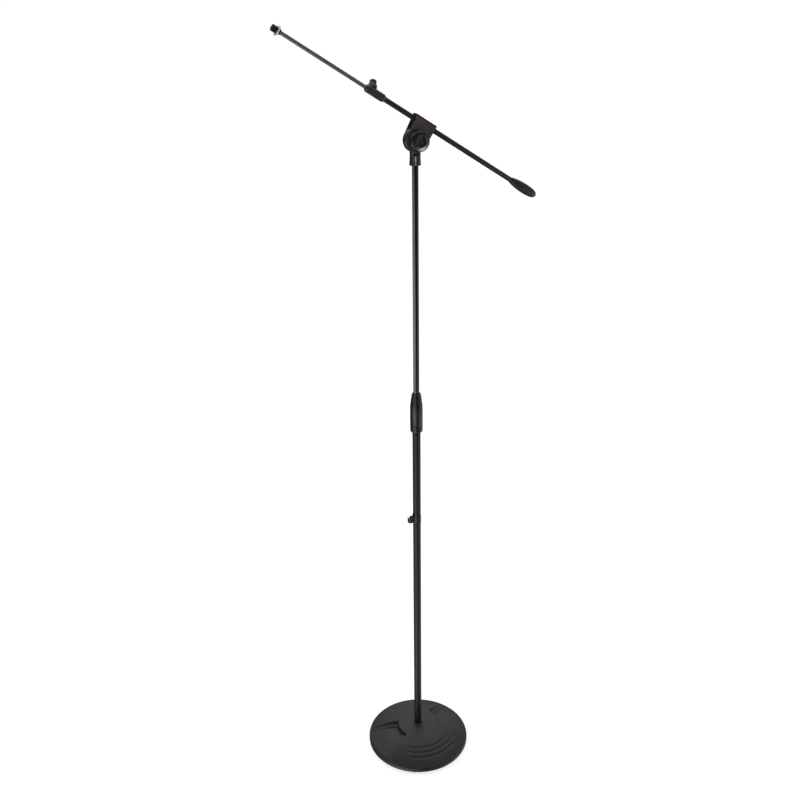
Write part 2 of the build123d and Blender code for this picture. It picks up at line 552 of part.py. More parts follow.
def end_grip():
    """Swelling vinyl grip over the boom's rear end."""
    length = GRIP_FRONT - GRIP_REAR
    swell = [(7.4, 0.0), (9.4, 0.10), (11.4, 0.27), (GRIP_R, 0.48), (GRIP_R - 0.2, 0.66), (11.0, 0.82),
             (8.6, 0.925), (5.2, 0.983), (2.5, 1.0)]
    curve = [(radius, GRIP_FRONT - part * length) for radius, part in swell]
    grip = smooth_turned(curve, (0, GRIP_REAR), (0, GRIP_FRONT))
    return grip - rod(OUTER_R, OUTER_REAR, GRIP_FRONT + SPARE)


def tip_parts():
    """Threaded adapter and lock ring at the microphone end."""
    adapter = turned([(0, INNER_FRONT), (INNER_R, INNER_FRONT), (INNER_R, ADAPTER_REAR),
                      (ADAPTER_FOOT_R, ADAPTER_REAR), (ADAPTER_NECK_R, ADAPTER_REAR + ADAPTER_FLARE),
                      (ADAPTER_NECK_R, RING_REAR - GAP), (THREAD_NECK_R, RING_REAR - GAP),
                      (THREAD_NECK_R, THREAD_START), (THREAD_R, THREAD_START),
                      (THREAD_R, THREAD_END - THREAD_CHAMFER), (THREAD_R - THREAD_CHAMFER, THREAD_END),
                      (ADAPTER_BORE_R, THREAD_END), (ADAPTER_BORE_R, THREAD_START), (0, THREAD_START)])
    bore = THREAD_NECK_R + RUN
    ring_top = RING_REAR + RING_THICKNESS
    ring = turned([(bore, RING_REAR), (RING_R - RING_CHAMFER, RING_REAR), (RING_R, RING_REAR + RING_CHAMFER),
                   (RING_R, ring_top - RING_CHAMFER), (RING_R - RING_CHAMFER, ring_top), (bore, ring_top)])
    return {
        "thread_adapter": along_boom(adapter),
        "lock_ring": along_boom(ring),
    }


def boom_parts():
    """Thick and thin boom tube, the plug and grip at the rear and the slider inside."""
    outer_bore = OUTER_R - OUTER_WALL
    guide = tube(outer_bore - RUN, INNER_R, INNER_REAR, INNER_REAR + INNER_GUIDE_LENGTH)
    guide += tube(outer_bore - RUN, INNER_GUIDE_HOLE_R, INNER_REAR - INNER_GUIDE_CAP, INNER_REAR)
    return {
        "boom_outer_tube": along_boom(tube(OUTER_R, outer_bore, OUTER_REAR, OUTER_FRONT)),
        "boom_end_plug": along_boom(rod(outer_bore, OUTER_REAR, OUTER_REAR + END_PLUG_LENGTH)),
        "boom_end_grip": along_boom(end_grip()),
        "boom_inner_tube": along_boom(tube(INNER_R, INNER_R - INNER_WALL, INNER_REAR, INNER_FRONT)),
        "inner_tube_guide": along_boom(guide),
    }


# ---------------------------------------------------------------- assembly
def build_all():
    parts = {}
    for group in (base_parts, clutch_parts, mast_parts, head_parts,
                  knob_parts, boom_parts, clamp_parts, tip_parts):
        parts.update(group())
    parts["cable_clip"] = cable_clip()
    return parts


os.makedirs("parts", exist_ok=True)
for node, shape in build_all().items():
    solids = shape if isinstance(shape, list) else shape.solids()
    export_step(Compound(children=list(solids)) if len(solids) > 1 else solids[0], f"parts/{node}.step")
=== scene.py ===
"""Looks for the boom microphone stand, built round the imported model. Metres, in the part's own frame."""
import json
import math

import bmesh
import bpy
from mathutils import Matrix, Vector


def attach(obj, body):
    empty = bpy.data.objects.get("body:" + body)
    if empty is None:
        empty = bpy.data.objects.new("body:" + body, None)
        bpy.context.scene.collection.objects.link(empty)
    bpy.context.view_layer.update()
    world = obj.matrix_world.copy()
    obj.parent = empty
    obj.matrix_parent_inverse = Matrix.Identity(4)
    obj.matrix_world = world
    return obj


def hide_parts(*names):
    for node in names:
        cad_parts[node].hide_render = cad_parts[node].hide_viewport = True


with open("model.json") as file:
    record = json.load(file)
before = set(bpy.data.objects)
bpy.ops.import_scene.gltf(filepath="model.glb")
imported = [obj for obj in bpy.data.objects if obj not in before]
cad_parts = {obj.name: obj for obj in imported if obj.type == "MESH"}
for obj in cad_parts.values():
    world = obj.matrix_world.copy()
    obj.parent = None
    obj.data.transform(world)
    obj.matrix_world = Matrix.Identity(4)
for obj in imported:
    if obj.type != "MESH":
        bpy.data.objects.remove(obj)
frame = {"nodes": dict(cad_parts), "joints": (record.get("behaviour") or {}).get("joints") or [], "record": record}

MM = 0.001
TURN = 2 * math.pi
TINY = 1e-9
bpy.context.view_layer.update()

# ---------------------------------------------------------------- what the frame says
JOINTS = {joint["name"]: joint for joint in frame["joints"]}
BODY_OF = {node: body for body, nodes in frame["record"]["behaviour"]["bodies"].items() for node in nodes}
Z = Vector((0, 0, 1))
ORIGIN = Vector((0, 0, 0))
BOOM = Vector(JOINTS["boom_slide"]["axis"]).normalized()
BOOM_POINT = Vector(JOINTS["boom_roll"]["pos_m"])
PIVOT = Vector(JOINTS["boom_tilt"]["pos_m"])
KNOB_SIDE = Vector(JOINTS["tilt_knob_turn"]["axis"]).normalized()
LIFT = BOOM.cross(KNOB_SIDE).normalized()
SCREW = Vector(JOINTS["thumbscrew_turn"]["axis"]).normalized()
SCREW_POINT = Vector(JOINTS["thumbscrew_turn"]["pos_m"])
MOSTLY_X = 0.9                       # share of X above which a direction is taken to run along it


def place_at(origin, direction, across=None):
    """Matrix whose Z runs along a direction, with X as near as can be to another."""
    z_axis = Vector(direction).normalized()
    if across is None:
        across = (1, 0, 0) if abs(z_axis.x) < MOSTLY_X else Z
    hint = Vector(across)
    x_axis = (hint - z_axis * hint.dot(z_axis)).normalized()
    y_axis = z_axis.cross(x_axis)
    turn = Matrix((x_axis, y_axis, z_axis)).transposed().to_4x4()
    return Matrix.Translation(origin) @ turn


MAST = place_at(ORIGIN, Z)
ON_BOOM = place_at(BOOM_POINT, BOOM, LIFT)
ON_PIVOT = place_at(PIVOT, KNOB_SIDE, BOOM)
ON_SCREW = place_at(SCREW_POINT, SCREW, BOOM)


def span(node, place):
    """Lowest and highest point of a CAD node along a place's Z, and its largest radius about that Z."""
    back = place.inverted()
    points = [back @ v.co for v in frame["nodes"][node].data.vertices]
    return min(p.z for p in points), max(p.z for p in points), max(math.hypot(p.x, p.y) for p in points)


# ---------------------------------------------------------------- mesh helpers
CORNER_STEPS = 3                     # lines that make up a rounded corner
CORNER_SHARE = 0.45                  # most of a line that the rounding of one corner takes up
NEARLY_STRAIGHT = 0.995              # cosine at a corner too flat to round
CURVE_PIECES = 10                    # lines between neighbouring points of a smooth curve
MERGE_WITHIN = 1e-7                  # metres between points that are joined
CREASE = 35.0                        # degrees between faces above which their edge stays sharp
LATHE_ROUNDING = 0.4 * MM            # usual rounding of a turned piece's corners
LATHE_STEPS = 96                     # usual number of points round a turned piece
SMOOTH_STEPS = 128                   # the same for larger pieces
EDGE_SEGMENTS = 2                    # faces across a softened edge of a CAD piece
EDGE_ANGLE = math.radians(40)        # smallest angle of an edge that is softened
BLOCK_SEGMENTS = 4                   # faces across a block's rounded edge


def soften(outline, radius, closed=True):
    """Outline with each corner rounded, as far as the lines beside it allow."""
    count = len(outline)
    result = []
    for i, corner in enumerate(outline):
        here = Vector(corner)
        if not closed and i in (0, count - 1):
            result.append(tuple(here))
            continue
        before, after = Vector(outline[i - 1]), Vector(outline[(i + 1) % count])
        to_before, to_after = before - here, after - here
        reach = min(radius, CORNER_SHARE * to_before.length, CORNER_SHARE * to_after.length)
        repeated = to_before.length < TINY or to_after.length < TINY
        if repeated or abs(to_before.normalized().dot(to_after.normalized())) > NEARLY_STRAIGHT:
            result.append(tuple(here))
            continue
        start = here + to_before.normalized() * reach
        end = here + to_after.normalized() * reach
        for step in range(CORNER_STEPS + 1):
            t = step / CORNER_STEPS
            result.append(tuple(start * (1 - t) ** 2 + here * 2 * t * (1 - t) + end * t ** 2))
    return result


def finish_mesh(name, builder, crease=CREASE):
    """Cleans up a bmesh and turns it into smooth-shaded mesh data with sharp creases."""
    bmesh.ops.remove_doubles(builder, verts=builder.verts, dist=MERGE_WITHIN)
    bmesh.ops.recalc_face_normals(builder, faces=builder.faces)
    mesh = bpy.data.meshes.new(name)
    builder.to_mesh(mesh)
    builder.free()
    for polygon in mesh.polygons:
        polygon.use_smooth = True
    mesh.set_sharp_from_angle(angle=math.radians(crease))
    return mesh


def ring_surface(name, rows, crease=CREASE):
    """Surface through rings of points, with its last ring joined to its first."""
    builder = bmesh.new()
    rings = [[builder.verts.new(point) for point in row] for row in rows]
    for lower, upper in zip(rings, rings[1:] + rings[:1]):
        for i in range(len(lower)):
            j = (i + 1) % len(lower)
            builder.faces.new((lower[i], lower[j], upper[j], upper[i]))
    return finish_mesh(name, builder, crease)


def lathe(name, outline, steps=LATHE_STEPS, round_by=LATHE_ROUNDING, ripple=None, crease=CREASE):
    """Turned solid from a closed outline of (radius, height).

    ripple, a function of radius, height and angle, gives what to add to the radius there.
    """
    rows = []
    for radius, height in (soften(outline, round_by) if round_by else outline):
        row = []
        for step in range(steps):
            angle = step * TURN / steps
            wide = radius + (ripple(radius, height, angle) if ripple and radius > 0 else 0.0)
            row.append((wide * math.cos(angle), wide * math.sin(angle), height))
        rows.append(row)
    return ring_surface(name, rows, crease)


def tube_outline(outer, inner, low, high):
    return [(inner, low), (outer, low), (outer, high), (inner, high)]


def divided(points, pieces):
    """Outline points with each straight stretch divided into short pieces, for a ripple to follow."""
    result = []
    for (r0, z0), (r1, z1) in zip(points, points[1:]):
        for step in range(pieces):
            t = step / pieces
            result.append((r0 + (r1 - r0) * t, z0 + (z1 - z0) * t))
    return result + [points[-1]]


def smooth_curve(points):
    """Catmull-Rom curve through outline points."""
    padded = [points[0]] + list(points) + [points[-1]]
    result = []
    for p0, p1, p2, p3 in zip(padded, padded[1:], padded[2:], padded[3:]):
        for step in range(CURVE_PIECES):
            t = step / CURVE_PIECES
            result.append(tuple(
                0.5 * (2 * b + (c - a) * t + (2 * a - 5 * b + 4 * c - d) * t ** 2
                       + (3 * b - a - 3 * c + d) * t ** 3)
                for a, b, c, d in zip(p0, p1, p2, p3)))
    return result + [points[-1]]


def show(node, mesh, place, material):
    """Sets a mesh in place as the visible piece that stands for a CAD node."""
    mesh.transform(place)
    mesh.materials.clear()
    mesh.materials.append(material)
    piece = bpy.data.objects.new(node + "_shown", mesh)
    bpy.context.scene.collection.objects.link(piece)
    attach(piece, BODY_OF[node])
    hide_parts(node)


def finish_node(node, material, bevel):
    """Gives a CAD node that stays visible its material and soft edges."""
    shown = frame["nodes"][node]
    shown.data.materials.clear()
    shown.data.materials.append(material)
    if bevel:
        edge = shown.modifiers.new("soft_edges", "BEVEL")
        edge.width = bevel
        edge.segments = EDGE_SEGMENTS
        edge.limit_method = "ANGLE"
        edge.angle_limit = EDGE_ANGLE
        edge.harden_normals = False


def block(name, centre, halves, bevel):
    """Upright block with rounded edges, given its centre and half sizes."""
    builder = bmesh.new()
    bmesh.ops.create_cube(builder, size=2.0)
    bmesh.ops.scale(builder, vec=halves, verts=builder.verts)
    bmesh.ops.translate(builder, vec=centre, verts=builder.verts)
    bmesh.ops.bevel(
        builder, geom=builder.edges, offset=bevel, segments=BLOCK_SEGMENTS, profile=0.5, affect="EDGES")
    return finish_mesh(name, builder)


def blend_solids(name, solids, voxel, smooth):
    """One skin round several overlapping meshes, with soft fillets between them."""
    builder = bmesh.new()
    for mesh in solids:
        builder.from_mesh(mesh)
    joined = bpy.data.meshes.new(name)
    builder.to_mesh(joined)
    builder.free()
    carrier = bpy.data.objects.new(name + "_carrier", joined)
    bpy.context.scene.collection.objects.link(carrier)
    remesh = carrier.modifiers.new("remesh", "REMESH")
    remesh.mode = "VOXEL"
    remesh.voxel_size = voxel
    soft = carrier.modifiers.new("smooth", "SMOOTH")
    soft.factor = 0.5
    soft.iterations = smooth
    graph = bpy.context.evaluated_depsgraph_get()
    skin = bpy.data.meshes.new_from_object(carrier.evaluated_get(graph))
    bpy.data.objects.remove(carrier)
    skin.name = name
    for polygon in skin.polygons:
        polygon.use_smooth = True
    return skin


# ---------------------------------------------------------------- materials
def new_material(name):
    material = bpy.data.materials.new(name)
    material.use_nodes = True
    nodes = material.node_tree.nodes
    return material, nodes, material.node_tree.links, nodes["Principled BSDF"]


def noise(nodes, links, coords, scale, detail, rough):
    """Noise texture on object coordinates."""
    texture = nodes.new("ShaderNodeTexNoise")
    texture.inputs["Scale"].default_value = scale
    texture.inputs["Detail"].default_value = detail
    texture.inputs["Roughness"].default_value = rough
    links.new(coords.outputs["Object"], texture.inputs["Vector"])
    return texture


def ramp(nodes, links, source, stops):
    """Colour ramp from stops of (position, colour or grey)."""
    made = nodes.new("ShaderNodeValToRGB")
    elements = made.color_ramp.elements
    while len(elements) < len(stops):
        elements.new(0.5)
    for element, (position, value) in zip(elements, stops):
        element.position = position
        element.color = (*value, 1) if isinstance(value, tuple) else (value, value, value, 1)
    links.new(source, made.inputs["Fac"])
    return made


MIX_COLOUR_A = 6                     # the colour sockets of a mix node, which share their names with others
MIX_COLOUR_B = 7
MIX_COLOUR_RESULT = 2


def mix_towards(nodes, links, share, below, colour):
    """Colour that goes from the one below to a fixed one as share goes from 0 to 1."""
    mixed = nodes.new("ShaderNodeMix")
    mixed.data_type = "RGBA"
    links.new(share, mixed.inputs["Factor"])
    links.new(below, mixed.inputs[MIX_COLOUR_A])
    mixed.inputs[MIX_COLOUR_B].default_value = (*colour, 1)
    return mixed.outputs[MIX_COLOUR_RESULT]


def map_range(nodes, links, source, span_from, span_to, smooth=False):
    """Value carried over from one range to another."""
    mapped = nodes.new("ShaderNodeMapRange")
    if smooth:
        mapped.interpolation_type = "SMOOTHSTEP"
    mapped.inputs["From Min"].default_value, mapped.inputs["From Max"].default_value = span_from
    mapped.inputs["To Min"].default_value, mapped.inputs["To Max"].default_value = span_to
    links.new(source, mapped.inputs["Value"])
    return mapped.outputs["Result"]


def relief(nodes, links, texture, depth, under=None):
    """Bump from a noise texture, laid over another bump if there is one."""
    bump = nodes.new("ShaderNodeBump")
    bump.inputs["Strength"].default_value = 1.0
    bump.inputs["Distance"].default_value = depth
    links.new(texture.outputs["Fac"], bump.inputs["Height"])
    if under:
        links.new(under.outputs["Normal"], bump.inputs["Normal"])
    return bump


CLOUD_SCALE = 0.08                   # scale of the clouds in colour and gloss, as a share of the grain's
CLOUD_RANGE = (0.3, 0.7)             # noise values between which colour and gloss change
FINE_SCALE = 2600.0                  # scale of the finest relief
FINE_DEPTH = 0.3                     # depth of the finest relief, as a share of the grain's
DUST_RANGE = (0.62, 0.8)             # noise values between which specks of dust show
DUST_GAIN = 3.0                      # a speck's colour: the paint's times this, plus the next value
DUST_LIFT = 0.03
FOLD_SHADE_FROM = 48.5 * MM          # painted shade where the bracket folds over the boom, measured up from the tilt axis
FOLD_SHADE_TO = 50.0 * MM
# colour of the painted shade along the bracket's fold
FOLD_SHADE_COLOUR = (0.006, 0.0055, 0.0055)


def finish_surface(name, colour, rough, grain, depth, variation, metallic=0.0, specular=0.5, dust=0.0,
                   painted_fold_shade=False):
    """Painted, moulded or plated surface, with noise of three scales in its colour, gloss and relief.

    colour is the mean base colour and variation the share by which it changes, rough the (low, high)
    roughness, grain the scale of the main relief and depth its depth in metres. dust is how much specks
    of dust show. The fold shade option paints shade: it blackens the bracket just under its top, where
    it is folded over the boom.
    """
    material, nodes, links, shader = new_material(name)
    coords = nodes.new("ShaderNodeTexCoord")
    clouds = noise(nodes, links, coords, grain * CLOUD_SCALE, detail=5.0, rough=0.6)
    grains = noise(nodes, links, coords, grain, detail=3.0, rough=0.5)
    fine = noise(nodes, links, coords, FINE_SCALE, detail=2.0, rough=0.5)

    dark = tuple(c * (1 - variation) for c in colour)
    light = tuple(min(1.0, c * (1 + variation)) for c in colour)
    tint = ramp(nodes, links, clouds.outputs["Fac"], list(zip(CLOUD_RANGE, (dark, light))))
    top_colour = tint.outputs["Color"]
    if dust:
        specks = ramp(nodes, links, grains.outputs["Fac"], list(zip(DUST_RANGE, (0.0, dust))))
        speck_colour = [min(1.0, c * DUST_GAIN + DUST_LIFT) for c in colour]
        top_colour = mix_towards(nodes, links, specks.outputs["Color"], top_colour, speck_colour)
    # painted shade: the band just under the top of the bracket, where it folds over the boom, is blackened
    if painted_fold_shade:
        height = nodes.new("ShaderNodeVectorMath")
        height.operation = "DOT_PRODUCT"
        height.inputs[1].default_value = LIFT
        links.new(coords.outputs["Object"], height.inputs[0])
        level = PIVOT.dot(LIFT)
        heights = (level + FOLD_SHADE_FROM, level + FOLD_SHADE_TO)
        painted_shade_share = map_range(nodes, links, height.outputs["Value"], heights, (0.0, 1.0), smooth=True)
        top_colour = mix_towards(nodes, links, painted_shade_share, top_colour, FOLD_SHADE_COLOUR)
    links.new(top_colour, shader.inputs["Base Color"])

    gloss = map_range(nodes, links, clouds.outputs["Fac"], CLOUD_RANGE, rough)
    links.new(gloss, shader.inputs["Roughness"])
    grain_bump = relief(nodes, links, grains, depth)
    fine_bump = relief(nodes, links, fine, depth * FINE_DEPTH, grain_bump)
    links.new(fine_bump.outputs["Normal"], shader.inputs["Normal"])

    shader.inputs["Metallic"].default_value = metallic
    shader.inputs["Specular IOR Level"].default_value = specular
    return material


PAINTS = {
    "base": finish_surface(
        "base_paint", (0.0290, 0.0245, 0.0260), (0.48, 0.60), 420.0, 0.14 * MM, 0.22, dust=0.12),
    "lower_tube": finish_surface(
        "lower_tube_paint", (0.028, 0.026, 0.0245), (0.48, 0.58), 900.0, 0.02 * MM, 0.2, specular=0.4),
    "upper_tube": finish_surface(
        "upper_tube_paint", (0.010, 0.0095, 0.0100), (0.14, 0.24), 700.0, 0.006 * MM, 0.2),
    "grip": finish_surface(
        "grip_plastic", (0.022, 0.0203, 0.0198), (0.30, 0.40), 1300.0, 0.02 * MM, 0.15, specular=0.45),
    "clip": finish_surface(
        "clip_plastic", (0.018, 0.0165, 0.0165), (0.42, 0.55), 1200.0, 0.03 * MM, 0.2),
    "head": finish_surface(
        "head_paint", (0.024, 0.0215, 0.0212), (0.22, 0.30), 500.0, 0.015 * MM, 0.25, specular=0.4),
    # the bracket's paint carries painted shade along its fold over the boom
    "bracket": finish_surface(
        "bracket_paint", (0.112, 0.0850, 0.0810), (0.34, 0.46), 600.0, 0.02 * MM, 0.2, painted_fold_shade=True),
    "knob": finish_surface(
        "knob_plastic", (0.014, 0.0112, 0.0108), (0.34, 0.42), 1100.0, 0.008 * MM, 0.15),
    "boom_outer": finish_surface(
        "boom_outer_paint", (0.032, 0.0298, 0.0290), (0.28, 0.38), 800.0, 0.012 * MM, 0.2),
    "boom_inner": finish_surface(
        "boom_inner_paint", (0.260, 0.250, 0.238), (0.28, 0.38), 800.0, 0.010 * MM, 0.2, metallic=0.5),
    "vinyl": finish_surface(
        "end_grip_vinyl", (0.038, 0.0345, 0.0338), (0.38, 0.48), 1000.0, 0.015 * MM, 0.2),
    "clamp": finish_surface(
        "clamp_plastic", (0.058, 0.045, 0.046), (0.30, 0.42), 1200.0, 0.03 * MM, 0.2),
    "cap": finish_surface(
        "cap_plastic", (0.034, 0.0240, 0.0228), (0.34, 0.44), 1100.0, 0.008 * MM, 0.15),
    "thumb": finish_surface(
        "thumb_plastic", (0.008, 0.0078, 0.0078), (0.34, 0.44), 1100.0, 0.02 * MM, 0.2),
    "thread": finish_surface(
        "thread_steel", (0.06, 0.06, 0.06), (0.30, 0.42), 900.0, 0.008 * MM, 0.3, metallic=0.8),
    "nickel": finish_surface(
        "nickel", (0.80, 0.78, 0.74), (0.14, 0.24), 700.0, 0.004 * MM, 0.08, metallic=1.0),
    "zinc": finish_surface(
        "zinc_steel", (0.55, 0.56, 0.58), (0.26, 0.42), 600.0, 0.01 * MM, 0.15, metallic=1.0),
    "black_steel": finish_surface(
        "black_steel", (0.020, 0.018, 0.017), (0.38, 0.5), 900.0, 0.02 * MM, 0.2),
    "brass": finish_surface(
        "brass", (0.78, 0.58, 0.26), (0.2, 0.34), 600.0, 0.01 * MM, 0.15, metallic=1.0),
    "nylon": finish_surface(
        "nylon", (0.62, 0.61, 0.56), (0.4, 0.5), 900.0, 0.02 * MM, 0.08),
    "black_nylon": finish_surface(
        "black_nylon", (0.014, 0.013, 0.013), (0.4, 0.5), 900.0, 0.02 * MM, 0.15),
    "rubber": finish_surface(
        "rubber", (0.02, 0.02, 0.02), (0.7, 0.85), 900.0, 0.05 * MM, 0.2),
}


# ---------------------------------------------------------------- base
RIM_HEIGHT = 15.5 * MM               # height of the dome's edge above the foot of the rim
RIM_INSET = 3.5 * MM                 # the same edge, in from the outside of the rim
HUB_RADIUS = 30 * MM                 # flat middle of the dome
DOME_SHOULDER = (0.656, 45 * MM)     # a point on the dome: radius in base radii, height
UNDER_SHOULDER = (0.6, 31 * MM)      # a point on the underside, in the same way
RIM_BAND = 20 * MM                   # width of the flat ring that the rim stands on
UNDER_RIM_DROP = 3 * MM              # underside below the dome's edge, at the rim
BOSS_RADIUS = 24 * MM                # boss in the middle of the underside
BOSS_TOP_DROP = 24 * MM              # underside below the hub, at the boss
BOSS_DROP = 28 * MM                  # foot of the boss below the hub
BOSS_CHAMFER = 1 * MM
STUD_HOLE = 8.2 * MM                 # radius of the hole through the boss
HUB_RINGS = (0.42, 0.7, 0.95)        # rings of points on the hub, in hub radii
DOME_RINGS = 150                     # rings of points on the dome
UNDER_RINGS = 30                     # rings of points on the underside
BASE_STEPS = 600                     # points round the base
RECESS_HALF = math.radians(30)       # half angle of a recessed sector
LEDGE_WIDTH = 13 * MM                # width of the ledge beside each lobe's edge
STEP_EDGE = 1.3 * MM                 # half width of the sloping face of a step
FLOOR_SETBACK = 2.2 * STEP_EDGE      # inner end of the floor beyond that of the ledge
LEDGE_DROP = 10.0 * MM               # depth of the ledge at the hub
FLOOR_DROP = 4.6 * MM                # further depth of the floor at the hub
RECESS_TAPER = 0.8                   # power with which the depths run out towards the rim
LOBE_START = 0.4066                  # inner end of the recesses, in base radii
RECESS_END = 0.957                   # outer end of the recesses, in base radii
GROOVES = ((0.646, 44), (0.738, 43), (0.820, 35))   # groove radius in base radii, half angle in degrees
GROOVE_DEPTH = 1.8 * MM
GROOVE_HALF_WIDTH = 2.9 * MM
GROOVE_SHARPNESS = 1.6               # how fast a groove's side falls, in half widths
GROOVE_REACH = 1.6                   # half widths beyond which a groove is not felt
GROOVE_END = (-4 * MM, 1 * MM)       # where a groove runs out, along the arc from its end
BASE_CREASE = 60.0                   # degrees


def fade(value, low, high):
    """Smooth step from 0 to 1."""
    t = min(1.0, max(0.0, (value - low) / (high - low)))
    return t * t * (3 - 2 * t)


def dome_arc(start, middle, end):
    """Height as a function of radius on the circle through three points."""
    (x1, y1), (x2, y2), (x3, y3) = start, middle, end
    d = 2 * (x1 * (y2 - y3) + x2 * (y3 - y1) + x3 * (y1 - y2))
    s1, s2, s3 = x1 * x1 + y1 * y1, x2 * x2 + y2 * y2, x3 * x3 + y3 * y3
    cx = (s1 * (y2 - y3) + s2 * (y3 - y1) + s3 * (y1 - y2)) / d
    cy = (s1 * (x3 - x2) + s2 * (x1 - x3) + s3 * (x2 - x1)) / d
    radius = math.hypot(x1 - cx, y1 - cy)
    return lambda x: cy + math.sqrt(max(0.0, radius ** 2 - (x - cx) ** 2))


def base_top(r, angle, dome, high, radius):
    """Height of the base's upper face: the dome, less its recesses and grooves."""
    height = dome(r) if r > HUB_RADIUS else high
    turn = (angle + math.pi / 2) % math.pi - math.pi / 2      # angle from the nearest recess's middle
    to_edge = r * math.sin(RECESS_HALF - abs(turn))           # distance inside the recess's side
    inward = r - LOBE_START * radius
    share = max(0.0, 1 - inward / ((RECESS_END - LOBE_START) * radius))
    ledge = fade(to_edge, -STEP_EDGE, STEP_EDGE) * fade(inward, -STEP_EDGE, STEP_EDGE)
    floor = fade(to_edge - LEDGE_WIDTH, -STEP_EDGE, STEP_EDGE)
    floor *= fade(inward - FLOOR_SETBACK, -STEP_EDGE, STEP_EDGE)
    height -= (LEDGE_DROP * ledge + FLOOR_DROP * floor) * share ** RECESS_TAPER
    off_lobe = abs(abs(turn) - math.pi / 2)                   # angle from the nearest lobe's middle
    for ring, half in GROOVES:
        across = abs(r - ring * radius) / GROOVE_HALF_WIDTH
        if across < GROOVE_REACH:
            ends = 1 - fade((off_lobe - math.radians(half)) * r, *GROOVE_END)
            height -= GROOVE_DEPTH * math.exp(-GROOVE_SHARPNESS * across ** 2) * ends
    return height


def make_base():
    """Cast base: dome with two raised lobes, stepped recesses between them and grooves on the lobes."""
    low, high, radius = span("base_casting", MAST)
    rim_top = low + RIM_HEIGHT
    dome_edge = radius - RIM_INSET
    rim_inside = radius - RIM_BAND
    dome = dome_arc((dome_edge, rim_top), (DOME_SHOULDER[0] * radius, low + DOME_SHOULDER[1]),
                    (HUB_RADIUS, high))
    under = dome_arc((rim_inside, rim_top - UNDER_RIM_DROP),
                     (UNDER_SHOULDER[0] * radius, low + UNDER_SHOULDER[1]),
                     (BOSS_RADIUS, high - BOSS_TOP_DROP))

    top_radii = [HUB_RADIUS * share for share in HUB_RINGS]
    top_radii += [HUB_RADIUS + (dome_edge - HUB_RADIUS) * i / DOME_RINGS for i in range(DOME_RINGS + 1)]
    rim = [(radius - 1.9 * MM, rim_top - 0.55 * MM), (radius - 0.6 * MM, rim_top - 2.0 * MM),
           (radius, rim_top - 4.2 * MM), (radius, low + 2.2 * MM), (radius - 0.6 * MM, low + 0.6 * MM),
           (radius - 2.0 * MM, low), (rim_inside + 1 * MM, low), (rim_inside, low + 1 * MM)]
    under_radii = [rim_inside - (rim_inside - BOSS_RADIUS) * i / UNDER_RINGS for i in range(UNDER_RINGS + 1)]
    boss_low = high - BOSS_DROP
    profile = [(r, None) for r in top_radii] + rim + [(r, under(r)) for r in under_radii]
    profile += [(BOSS_RADIUS, boss_low), (BOSS_RADIUS - BOSS_CHAMFER, boss_low), (STUD_HOLE, boss_low),
                (STUD_HOLE, high)]
    rows = []
    for r, level in profile:
        row = []
        for step in range(BASE_STEPS):
            angle = step * TURN / BASE_STEPS
            height = base_top(r, angle, dome, high, radius) if level is None else level
            row.append((r * math.cos(angle), r * math.sin(angle), height))
        rows.append(row)
    show("base_casting", ring_surface("base_casting_shown", rows, BASE_CREASE), MAST, PAINTS["base"])


# ---------------------------------------------------------------- mast
TUBES = (                            # node, paint, place
    ("lower_tube", "lower_tube", MAST), ("upper_tube", "upper_tube", MAST),
    ("boom_outer_tube", "boom_outer", ON_BOOM), ("boom_inner_tube", "boom_inner", ON_BOOM))
TUBE_WALL = 1.3 * MM
CLUTCH_SHOULDER = 0.58               # height at which the clutch grip starts to narrow, in grip heights
CLUTCH_RINGS = (0.09, 0.17)          # heights of its turned rings, in grip heights
RING_DEPTH = 0.55 * MM
RING_HALF_TOP = 1.5 * MM             # half width of a ring at the surface
RING_HALF_FLOOR = 0.7 * MM           # half width at its floor
CLUTCH_LIP = 0.70                    # radius of the lip round the upper tube, in grip radii
CLUTCH_THROAT = 8.5 * MM             # radius of the hole for the upper tube
CLUTCH_CAVITY = 12.8 * MM            # radius of the cavity over the sleeve
CLUTCH_EDGE = 0.5 * MM               # rounding of its corners


def make_tubes():
    """Tubes of the mast and the boom, open at both ends."""
    for node, paint, place in TUBES:
        low, high, radius = span(node, place)
        outline = tube_outline(radius, radius - TUBE_WALL, low, high)
        show(node, lathe(node + "_shown", outline), place, PAINTS[paint])


def make_clutch():
    """Twist grip: bullet-shaped, with two turned rings near its foot and a lip round the upper tube."""
    low, high, radius = span("clutch_grip", MAST)
    tall = high - low
    shoulder = low + CLUTCH_SHOULDER * tall
    swell = [(radius, shoulder), (radius - 0.3 * MM, shoulder + 0.09 * tall),
             (radius - 1.2 * MM, shoulder + 0.16 * tall), (radius - 2.9 * MM, shoulder + 0.285 * tall),
             (0.735 * radius, high - 4.5 * MM)]
    side = [(radius - 4 * MM, low), (radius - 1.6 * MM, low + 0.4 * MM), (radius - 0.3 * MM, low + 4 * MM)]
    for ring in CLUTCH_RINGS:
        middle = low + ring * tall
        side += [(radius, middle - RING_HALF_TOP), (radius - RING_DEPTH, middle - RING_HALF_FLOOR),
                 (radius - RING_DEPTH, middle + RING_HALF_FLOOR), (radius, middle + RING_HALF_TOP)]
    lip = CLUTCH_LIP * radius
    top = [(lip, high - 4.0 * MM), (lip, high - 1.0 * MM), (lip - 1.2 * MM, high), (CLUTCH_THROAT, high),
           (CLUTCH_THROAT, high - 20 * MM), (CLUTCH_CAVITY, high - 50 * MM), (CLUTCH_CAVITY, low)]
    outline = soften(side, CLUTCH_EDGE, closed=False)
    outline += smooth_curve(swell)
    outline += soften(top, CLUTCH_EDGE, closed=False)
    show("clutch_grip", lathe("clutch_grip_shown", outline, SMOOTH_STEPS, 0), MAST, PAINTS["grip"])


